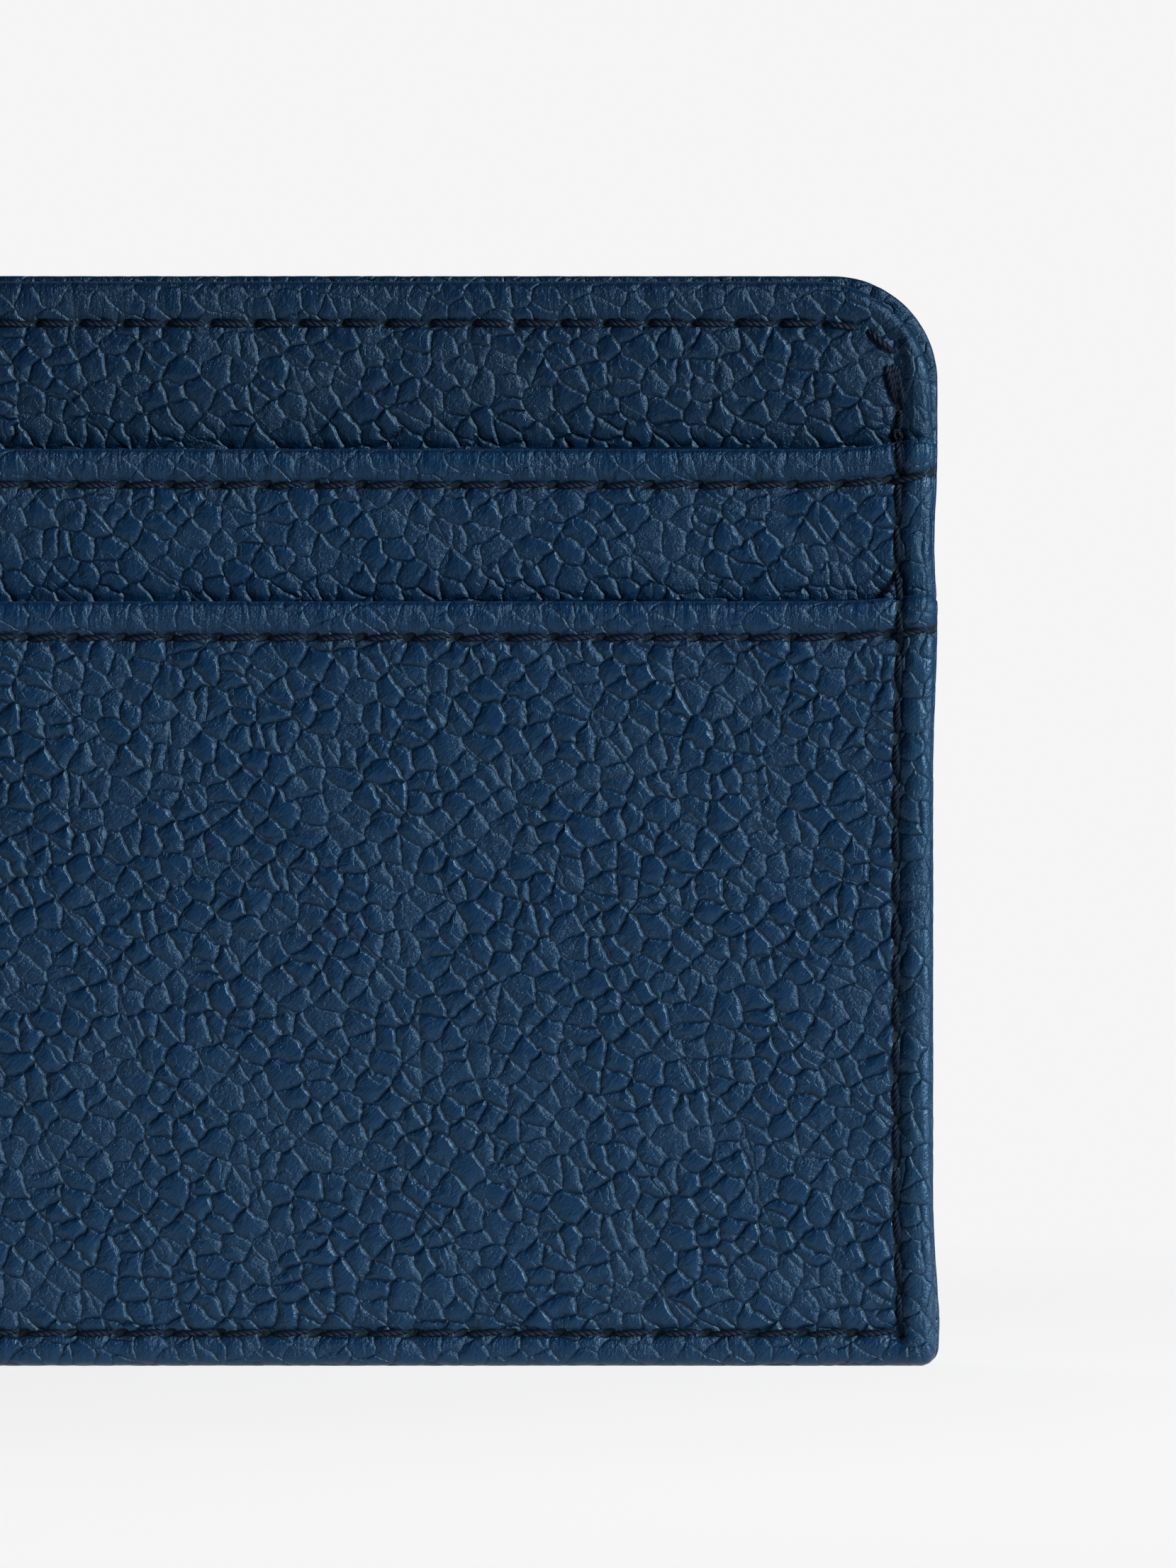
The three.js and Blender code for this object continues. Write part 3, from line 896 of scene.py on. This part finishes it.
def face_of(pieces):
    """Depth of the outermost leather at real x, z; pieces run from the innermost to the outermost."""
    def depth(x, z):
        best = pieces[0].over(x, z)[0]
        for piece in pieces[1:]:
            here, covers = piece.over(x, z)
            best = np.where(covers, np.maximum(best, here), best)
        return best
    return depth


def row(half, depth_at, holes, lean=SLANT):
    return [stitch(half, depth_at, a, b, lean=lean) for a, b in zip(holes[:-1], holes[1:])]


def knot(half, x, z, depth, size=0.42):
    """A small overhand knot: two and a half turns of thread drawn tight."""
    u = np.linspace(0, 1, 15)
    angle = u * 5 * math.pi
    wide = size * (0.45 + 0.35 * np.sin(u * math.pi))
    out = depth + 0.1 + 0.22 * np.sin(u * 3 * math.pi)
    path = np.stack([x + wide * np.cos(angle) * 0.9, half.side * out,
                     z + wide * np.sin(angle) - 0.25 * (u - 0.5)], axis=1)
    return strand(path, THREAD * 0.4, (0, half.side, 0), start=x)


def tack(half, panel, sign):
    """Four threads side by side below the top stitch's end, then one down to a knot above the pocket."""
    depth_at = face_of([panel])
    made = []
    top, low = half.tack_high + 0.1, half.tack_low + TACK_HOLE_RISE
    for k, offset in enumerate((-0.36, -0.12, 0.12, 0.36)):
        a = (sign * (half.seam_x - 0.58 + offset), top - 0.12 * (k % 2))
        b = (sign * (half.seam_x + 0.02 + offset * 0.6), low + 0.1 * (k % 3))
        made.append(stitch(half, depth_at, a, b, rings=9, lean=0.0))
    end = (sign * (half.seam_x - 0.12), half.tack_low - 0.25)
    made.append(stitch(half, depth_at, (sign * (half.seam_x + 0.1), low + 0.05), end, rings=7, lean=0.05))
    made.append(knot(half, end[0], end[1] + 0.1, float(depth_at(*(np.array([v]) for v in end))[0])))
    return made


# ---- Finishes ------------------------------------------------------------------------------------

NAVY = (0.0006, 0.0150, 0.0490, 1)
# painted shade laid into grain creases and along the stitch grooves
NAVY_PAINTED_SHADE = (0.0002, 0.0052, 0.0175, 1)
# lighter navy for the margins outside the side seams: partly edge wear, partly painted sheen where the
# turned edges face the light
NAVY_WEAR_AND_SHEEN = (0.0080, 0.0380, 0.0840, 1)
NAVY_SHEEN = (0.46, 0.77, 1.0, 1)
# painted shadow inside the needle holes
HOLE_PAINTED_SHADOW = (0.0008, 0.0010, 0.0020, 1)
# painted shade: the panel and the upper pocket, which lie deeper, are darker than the lower pocket
PAINTED_SHADE_BY_LAYER = (0.74, 0.94, 1.0)     # of the panel, the upper and the lower pocket
THREAD_NAVY = (0.0012, 0.0030, 0.0105, 1)
# painted shade in the grooves between the thread's plies
THREAD_PLY_SHADE = (0.0004, 0.0006, 0.0018, 1)
THREAD_SHEEN = (0.45, 0.66, 1.0, 1)
# the cloth's yarns: the darker colour goes into the weave's hollows as painted shade
CLOTH_DARK = (0.0035, 0.0060, 0.0130, 1)
CLOTH_PALE = (0.0140, 0.0210, 0.0380, 1)
BOARD_DARK = (0.20, 0.18, 0.15, 1)
BOARD_PALE = (0.30, 0.28, 0.24, 1)
WEAVE = 0.44                   # mm between two neighbouring yarns' repeats
CLOTH = 0.12                   # thickness of cloth
CLOTH_STEP = 1.5
PLY_LAY = 1.25                 # mm of thread for one full turn of its plies


def new_material(name, roughness):
    """A material with its Principled shader."""
    material = bpy.data.materials.new(name)
    material.use_nodes = True
    material.node_tree.nodes.clear()
    t = Tree(material.node_tree)
    shader = t.node("ShaderNodeBsdfPrincipled", inputs={"Roughness": roughness})
    out = t.node("ShaderNodeOutputMaterial")
    t.tree.links.new(shader.outputs[0], out.inputs["Surface"])
    return material, t, shader


def needle_line_group():
    """Marks the needle holes along one straight row: Mask is 1 in a hole, Press along the row."""
    group, t, entry, leave = new_group(
        "Needle row", "ShaderNodeTree",
        [("Along", "NodeSocketFloat", 0.0), ("Across", "NodeSocketFloat", 0.0),
         ("Pitch", "NodeSocketFloat", 3.0)],
        [("Mask", "NodeSocketFloat"), ("Press", "NodeSocketFloat")])
    along, across, pitch = (entry.outputs[k] for k in ("Along", "Across", "Pitch"))
    beat = t.math("SUBTRACT", along, t.mul(t.math("ROUND", t.math("DIVIDE", along, pitch)), pitch))
    lean = t.math("SUBTRACT", across, t.mul(beat, 0.25))
    long = t.math("DIVIDE", beat, 1.9)
    ring = t.math("SQRT", t.add(t.math("POWER", long, 2.0), t.math("POWER", lean, 2.0)))
    t.feed(leave.inputs["Mask"], t.ramp(ring, 0.14, 0.3, 1.0, 0.0))
    t.feed(leave.inputs["Press"], t.ramp(t.math("ABSOLUTE", across), 0.1, 0.5, 1.0, 0.0))
    return group


GROUPS = {}
EDGE_TO_EDGE = (-99.0, 99.0)   # a row of holes that runs over both edges
ONE_HOLE = 20.0                # a pitch so long that a row has a single hole


def navy_leather(name, shift, shade, rows):
    """Grained leather, each layer darkened by a painted shade of its own: the panel and the upper pocket
    lie deeper and are painted darker.

    rows lists straight rows of needle holes as (direction, line, start, pitch, low, high).
    """
    material, t, shader = new_material(name, 0.5)
    skin = t.attribute("skin")
    grain = t.node("ShaderNodeGroup", {"node_tree": GROUPS["grain"]},
                   {"Skin": skin, "Shift": shift, "Calm": t.attribute("calm", "Fac")}).outputs
    x, z, _ = t.split(skin)
    holes, press = 0.0, 0.0
    for direction, line, start, pitch, low, high in rows:
        run, off = (x, z) if direction == "level" else (z, x)
        if direction == "upright":
            off = t.math("ABSOLUTE", off)
        needles = t.node("ShaderNodeGroup", {"node_tree": GROUPS["needle"]},
                         {"Along": t.math("SUBTRACT", run, start),
                          "Across": t.math("SUBTRACT", off, line), "Pitch": pitch}).outputs
        within = t.mul(t.math("GREATER_THAN", run, low), t.math("LESS_THAN", run, high))
        holes = t.math("MAXIMUM", holes, t.mul(needles["Mask"], within))
        press = t.math("MAXIMUM", press, t.mul(needles["Press"], within))
    tone = t.ramp(grain["Tone"], 0.3, 0.7, 0.0, 1.0)
    # lighter margins outside the side seams: partly edge wear, partly painted sheen where the turned edges
    # face the light
    side = t.ramp(t.math("ABSOLUTE", x), FRONT.seam_x + 0.3, FRONT.seam_x + 1.3)
    margin_wear_and_sheen = t.mul(side, t.ramp(grain["Tone"], 0.3, 0.65), 0.55)
    # painted shade: each layer's navy is scaled down by its shade
    dark, pale = ([c * shade * gain for c in NAVY[:3]] + [1] for gain in (1.0, 1.5))
    colour = t.blend(t.mul(tone, 0.35), dark, pale)
    colour = t.blend(margin_wear_and_sheen, colour, NAVY_WEAR_AND_SHEEN)
    # painted shade: creases and the grooves along the stitch rows are darkened
    colour = t.blend(t.mul(grain["Crease"], 0.9), colour, NAVY_PAINTED_SHADE)
    colour = t.blend(t.mul(press, 0.85), colour, NAVY_PAINTED_SHADE)
    # painted shadow: the needle holes are darkened almost to black
    colour = t.blend(t.mul(holes, 0.95), colour, HOLE_PAINTED_SHADOW)
    t.feed(shader.inputs["Base Color"], colour)
    up = t.split(t.node("ShaderNodeTexCoord").outputs["Normal"])[2]
    rubbed = t.ramp(up, 0.75, 0.95, 0.0, 0.4)     # edges that face up are rubbed dull
    rough = t.add(t.ramp(grain["Tone"], 0.3, 0.7, 0.33, 0.39), rubbed, t.mul(grain["Crease"], 0.15),
                  t.mul(holes, 0.5))
    t.feed(shader.inputs["Roughness"], rough)
    t.raise_normal(shader, t.add(grain["Height"], t.mul(holes, -0.25), t.mul(press, -0.03)))
    shader.inputs["Specular IOR Level"].default_value = 0.51
    shader.inputs["Specular Tint"].default_value = NAVY_SHEEN
    return material


def thread_finish(name="navy thread", straight=False):
    """Three plies laid round each other, along each thread's own attribute or straight across the width."""
    material, t, shader = new_material(name, 0.55)
    if straight:
        run, _, across = t.split(t.object_place())
        angle = t.mul(across, 4.0)
    else:
        cosine, across, run = t.split(t.attribute("twist"))
        angle = t.math("ARCTAN2", across, cosine)
    phase = t.add(t.mul(angle, 1.5), t.mul(run, 1.5 * 2 * math.pi / PLY_LAY))
    ply = t.math("ABSOLUTE", t.math("SINE", phase))
    fibre = t.noise(t.join(t.mul(phase, 0.6), t.mul(run, 1.3), across), 9.0, 2.0, 0.6)
    # painted shade: the thread darkens in the grooves between its plies
    t.feed(shader.inputs["Base Color"], t.blend(t.ramp(ply, 0.1, 0.9), THREAD_PLY_SHADE, THREAD_NAVY))
    t.feed(shader.inputs["Roughness"], t.ramp(fibre, 0.3, 0.7, 0.45, 0.7))
    shader.inputs["Specular IOR Level"].default_value = 0.3
    shader.inputs["Specular Tint"].default_value = THREAD_SHEEN
    t.raise_normal(shader, t.add(t.mul(ply, 0.09), t.mul(fibre, 0.03)))
    return material


def cloth_finish():
    """A fine plain weave on the flat skin coordinates."""
    material, t, shader = new_material("lining cloth", 0.85)
    x, z, _ = t.split(t.attribute("skin"))
    u, v = t.mul(x, 2 * math.pi / WEAVE), t.mul(z, 2 * math.pi / WEAVE)
    over = t.math("SINE", t.add(t.mul(t.math("ROUND", t.mul(x, 2 / WEAVE)), math.pi),
                                t.mul(t.math("ROUND", t.mul(z, 2 / WEAVE)), math.pi), math.pi / 2))
    warp, weft = t.math("ABSOLUTE", t.math("SINE", u)), t.math("ABSOLUTE", t.math("SINE", v))
    up = t.ramp(over, -0.2, 0.2)
    height = t.add(t.mul(warp, up), t.mul(weft, t.math("SUBTRACT", 1.0, up)))
    slub = t.noise(t.join(t.mul(x, 0.3), t.mul(z, 2.0)), 1.2, 3.0, 0.6)
    # raised yarns paler and low ones darker as painted shade; slubs vary the tone at random
    weave_shade_and_slub = t.mul(t.ramp(height, 0.2, 1.0), t.ramp(slub, 0.3, 0.7, 0.5, 1.0))
    t.feed(shader.inputs["Base Color"], t.blend(weave_shade_and_slub, CLOTH_DARK, CLOTH_PALE))
    t.raise_normal(shader, t.add(t.mul(height, 0.05), t.mul(slub, 0.03)), 0.6)
    shader.inputs["Sheen Weight"].default_value = 0.3
    return material


def board_finish():
    """Grey pressed board: pale fibres in a soft ground, read in object space."""
    material, t, shader = new_material("pressed board", 0.9)
    place = t.object_place()
    x, _, z = t.split(place)
    flock = t.noise(place, 0.9, 4.0, 0.6)
    fibre = t.noise(t.join(t.mul(x, 0.5), t.mul(z, 3.0)), 2.2, 2.0, 0.5)
    t.feed(shader.inputs["Base Color"], t.blend(t.ramp(flock, 0.35, 0.65), BOARD_DARK, BOARD_PALE))
    t.raise_normal(shader, t.add(t.mul(flock, 0.05), t.mul(fibre, 0.04)), 0.5)
    return material


# ---- Camera, light and floor ---------------------------------------------------------------------

VIEW_CENTRE = (30.0, 37.3)      # middle of the view on the front face: the right two thirds of the holder
VIEW_HIGH = 100.5
CAMERA_AWAY = 800.0
FLOOR_SHADE = 0.36
FLOOR_GLOW = 0.63              # light of its own, so that it meets the backdrop's tone
FLOOR_FADE = (0.07, 0.24)      # metres from the middle between which it fades out


def make_camera():
    camera = bpy.data.objects.new("camera", bpy.data.cameras.new("camera"))
    bpy.context.scene.collection.objects.link(camera)
    camera.location = (VIEW_CENTRE[0] * MM, -(CAMERA_AWAY + FRONT.lower_face) * MM, VIEW_CENTRE[1] * MM)
    camera.rotation_euler = (math.pi / 2, 0, 0)
    camera.data.sensor_width = 36
    camera.data.lens = 36 * CAMERA_AWAY / VIEW_HIGH
    bpy.context.scene.camera = camera


def make_light(name, place, aim, size, power, colour=(1, 1, 1)):
    data = bpy.data.lights.new(name, "AREA")
    data.shape = "RECTANGLE"
    data.size, data.size_y = size
    data.energy, data.color = power, colour
    light = bpy.data.objects.new(name, data)
    bpy.context.scene.collection.objects.link(light)
    light.location = place
    light.rotation_euler = (Vector(aim) - Vector(place)).to_track_quat("-Z", "Y").to_euler()
    light.visible_camera = False


def make_studio():
    scene = bpy.context.scene
    scene.view_settings.view_transform = "Standard"
    world = bpy.data.worlds.new("studio")
    scene.world = world
    world.use_nodes = True
    world.node_tree.nodes.clear()
    t = Tree(world.node_tree)
    seen = t.node("ShaderNodeBackground", inputs={"Color": (0.915, 0.915, 0.918, 1), "Strength": 1.0})
    lit = t.node("ShaderNodeBackground", inputs={"Color": (0.93, 0.96, 1.0, 1), "Strength": 0.045})
    path = t.node("ShaderNodeLightPath")
    mixed = t.node("ShaderNodeMixShader", inputs={0: path.outputs["Is Camera Ray"]})
    t.tree.links.new(lit.outputs[0], mixed.inputs[1])
    t.tree.links.new(seen.outputs[0], mixed.inputs[2])
    t.tree.links.new(mixed.outputs[0], t.node("ShaderNodeOutputWorld").inputs["Surface"])
    aim = (0.02, 0, 0.035)
    make_light("key_right", (0.8, -0.44, 0.36), aim, (0.24, 0.24), 15.5)
    make_light("fill_front", (-0.25, -0.9, 0.5), aim, (0.9, 0.7), 0.06)
    make_light("back_left", (-0.35, 0.85, 0.3), aim, (0.8, 0.6), 2.4)


def make_floor():
    """A pale round floor that fades into the backdrop with distance."""
    deselect()
    bpy.ops.mesh.primitive_circle_add(vertices=96, radius=1.6, fill_type="NGON", location=(0, 0, -0.00002))
    floor = bpy.context.object
    floor.name = "floor"
    bpy.ops.object.transform_apply()
    material, t, shader = new_material("pale floor", 0.9)
    t.feed(shader.inputs["Base Color"], (FLOOR_SHADE, FLOOR_SHADE, FLOOR_SHADE, 1))
    t.feed(shader.inputs["Emission Color"], (1, 1, 1, 1))
    shader.inputs["Emission Strength"].default_value = FLOOR_GLOW
    shader.inputs["Specular IOR Level"].default_value = 0.0
    away = t.vector("LENGTH", t.node("ShaderNodeTexCoord").outputs["Object"])
    clear = t.node("ShaderNodeBsdfTransparent")
    mixed = t.node("ShaderNodeMixShader", inputs={0: t.ramp(away, *FLOOR_FADE)})
    t.tree.links.new(shader.outputs[0], mixed.inputs[1])
    t.tree.links.new(clear.outputs[0], mixed.inputs[2])
    out = next(n for n in t.tree.nodes if n.type == "OUTPUT_MATERIAL")
    t.tree.links.new(mixed.outputs[0], out.inputs["Surface"])
    floor.data.materials.append(material)


# ---- Making the pieces ---------------------------------------------------------------------------

def top_stitch_row(half, panel):
    path, length = top_stitch_path(half)
    pitch = pitch_of(length, STITCH_TOP)
    run = np.linspace(0, length, len(path))
    at = np.arange(round(length / pitch) + 1) * pitch
    holes = holes_on(panel, np.stack([np.interp(at, run, path[:, i]) for i in (0, 1)], axis=1))
    return row(half, face_of([panel]), holes, 0.05)


def mouth_stitch_row(half, piece, z):
    """The stitches under a mouth; the last one at each end runs out to the side edge."""
    pitch = pitch_of(2 * half.wide, STITCH_MOUTH)
    x = -half.wide + np.arange(1, round(2 * half.wide / pitch)) * pitch
    holes = holes_on(piece, np.stack([x, np.full_like(x, z)], axis=1))
    made = row(half, face_of([piece]), holes)
    for sign in (-1, 1):
        hole = holes[-1 if sign > 0 else 0]
        end = (sign * (half.wide - 0.42), hole[1] + 0.15)
        made.append(stitch(half, face_of([piece]), *sorted([hole, end], key=lambda p: p[0])))
    return made


def seam_rows(half, panel, upper, lower):
    """The seam's stitches up both sides, over all three pieces, and along the bottom."""
    seam_face = face_of([panel, upper, lower])
    height = half.seam_end - half.seam_z
    pitch = pitch_of(height, STITCH_SIDE)
    made = []
    for sign in (-1, 1):
        holes = []
        for z in half.seam_z + np.arange(round(height / pitch) + 1) * pitch:
            piece = lower if z <= half.lower_mouth else upper if z <= half.upper_mouth else panel
            holes.append(piece.at(sign * half.seam_x, z)[0, [0, 2]])
        made += row(half, seam_face, holes, 0.05)
    pitch = pitch_of(2 * half.seam_x, STITCH_BOTTOM)
    x = -half.seam_x + np.arange(round(2 * half.seam_x / pitch) + 1) * pitch
    return made + row(half, seam_face, np.stack([x, np.full_like(x, half.seam_z)], axis=1))


def make_threads(leather):
    """Every stitch on the faces, in one piece for each row."""
    finish = thread_finish()
    for half in (FRONT, BACK):
        panel, upper, lower = (leather[half.name, n] for n in ("panel", "upper_pocket", "lower_pocket"))
        rows = {"top_stitch": top_stitch_row(half, panel),
                "upper_mouth_stitch": mouth_stitch_row(half, upper, half.upper_stitch),
                "lower_mouth_stitch": mouth_stitch_row(half, lower, half.lower_stitch),
                "seam_thread": seam_rows(half, panel, upper, lower),
                "tack_right": tack(half, panel, 1),
                "tack_left": tack(half, panel, -1)}
        for name, parts in rows.items():
            piece = joined(parts, f"{half.name}_{name}_thread")
            finish_piece(piece, f"{half.name}_{name}", finish)
    for master, _, _ in TUBES.values():
        bpy.data.objects.remove(master)


def cloth_sheet(half, layer, corner_top, finish):
    """A sheet of cloth in its layer's place, its lower corners square."""
    node = f"{half.name}_{layer}"
    low, high = box_mm(node)
    wide, tall = high[0], high[2] - low[2]
    obj, x, z, _ = flat_grid(f"{node}_cloth", spaced(-wide, wide, CLOTH_STEP),
                             spaced(low[2], high[2], CLOTH_STEP))
    if corner_top > 0:
        for sx in (-1, 1):
            x, z = soften_corner(x, z, sx * (wide - 2 * corner_top), high[2] - 2 * corner_top,
                                 2 * corner_top, corner_top, sx, 1)
    drift = 0.012 * (np.sin(x / 6.1 + half.side) * np.sin(z / 4.7) + np.sin(x / 2.9 - z / 7.3))
    depth = (abs(low[1]) + abs(high[1])) / 2 + drift
    set_attribute(obj.data, "skin", "FLOAT_VECTOR", np.stack([x, z, np.zeros_like(x)], axis=1))
    write_points(obj.data, np.stack([x, half.side * depth, z], axis=1) * MM)
    solid = obj.modifiers.new("cloth", "SOLIDIFY")
    solid.thickness = CLOTH * MM
    solid.offset = 0.0
    activate(obj)
    bpy.ops.object.modifier_apply(modifier="cloth")
    face_outwards()
    bpy.ops.object.shade_smooth_by_angle(angle=math.radians(40))
    finish_piece(obj, node, finish)


def make_cloth():
    finish = cloth_finish()
    for half in (FRONT, BACK):
        cloth_sheet(half, "lining", LINING_CORNER, finish)
        cloth_sheet(half, "tail", 0.0, finish)


def dress_frame():
    """The nodes that keep their own shape get their finish too."""
    board, thread = board_finish(), thread_finish("navy thread, straight", straight=True)
    for half in (FRONT, BACK):
        for node, material in ((f"{half.name}_board", board), (f"{half.name}_tail_seam", thread)):
            obj = bpy.data.objects[node]
            obj.data.materials.clear()
            obj.data.materials.append(material)


def finish_piece(obj, node, material):
    obj.data.materials.clear()
    obj.data.materials.append(material)
    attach(obj, "root")
    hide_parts(node)


def add_grain(obj, group, shift):
    modifier = obj.modifiers.new("grain", "NODES")
    modifier.node_group = group
    socket = next(s for s in group.interface.items_tree if s.name == "Shift")
    modifier[socket.identifier] = shift
    activate(obj)
    bpy.ops.object.modifier_apply(modifier="grain")


def make_leather():
    relief = grain_relief_group()
    GROUPS["grain"], GROUPS["needle"] = grain_finish_group(), needle_line_group()
    made = {}
    for number, half in enumerate((FRONT, BACK)):
        side_pitch = pitch_of(half.seam_end - half.seam_z, STITCH_SIDE)
        mouth_pitch = pitch_of(2 * half.wide, STITCH_MOUTH)
        length = top_stitch_path(half)[1]
        bend = half.seam_x - STITCH_BEND
        tack_hole = half.tack_low + TACK_HOLE_RISE - 0.05
        side = ("upright", half.seam_x, half.seam_z, side_pitch, half.seam_z - 0.3, half.seam_end + 0.3)
        rows = {
            "panel": [("level", half.top_stitch, bend, pitch_of(length, STITCH_TOP), -bend, bend), side,
                      ("upright", half.seam_x + 0.08, tack_hole, ONE_HOLE, half.tack_low + 0.9,
                       half.tack_low + 2.4)],
            "upper_pocket": [("level", half.upper_stitch, -half.wide, mouth_pitch, *EDGE_TO_EDGE), side],
            "lower_pocket": [("level", half.lower_stitch, -half.wide, mouth_pitch, *EDGE_TO_EDGE), side,
                             ("level", half.seam_z, -half.seam_x, pitch_of(2 * half.seam_x, STITCH_BOTTOM),
                              -half.seam_x - 0.3, half.seam_x + 0.3)],
        }
        makers = {"panel": panel_piece, "upper_pocket": upper_pocket_piece,
                  "lower_pocket": lower_pocket_piece}
        for level, (part, maker) in enumerate(makers.items()):
            shift = (190.0 * number + 61.0 * level, 87.0 * level + 23.0 * number, 0.0)
            piece = maker(half)
            obj = piece.build()
            add_grain(obj, relief, shift)
            finish = navy_leather(f"navy leather, {half.name} {part}", shift, PAINTED_SHADE_BY_LAYER[level], rows[part])
            finish_piece(obj, f"{half.name}_{part}", finish)
            made[half.name, part] = piece
    return made


make_camera()
make_studio()
make_floor()
LEATHERS = make_leather()
make_threads(LEATHERS)
make_cloth()
dress_frame()
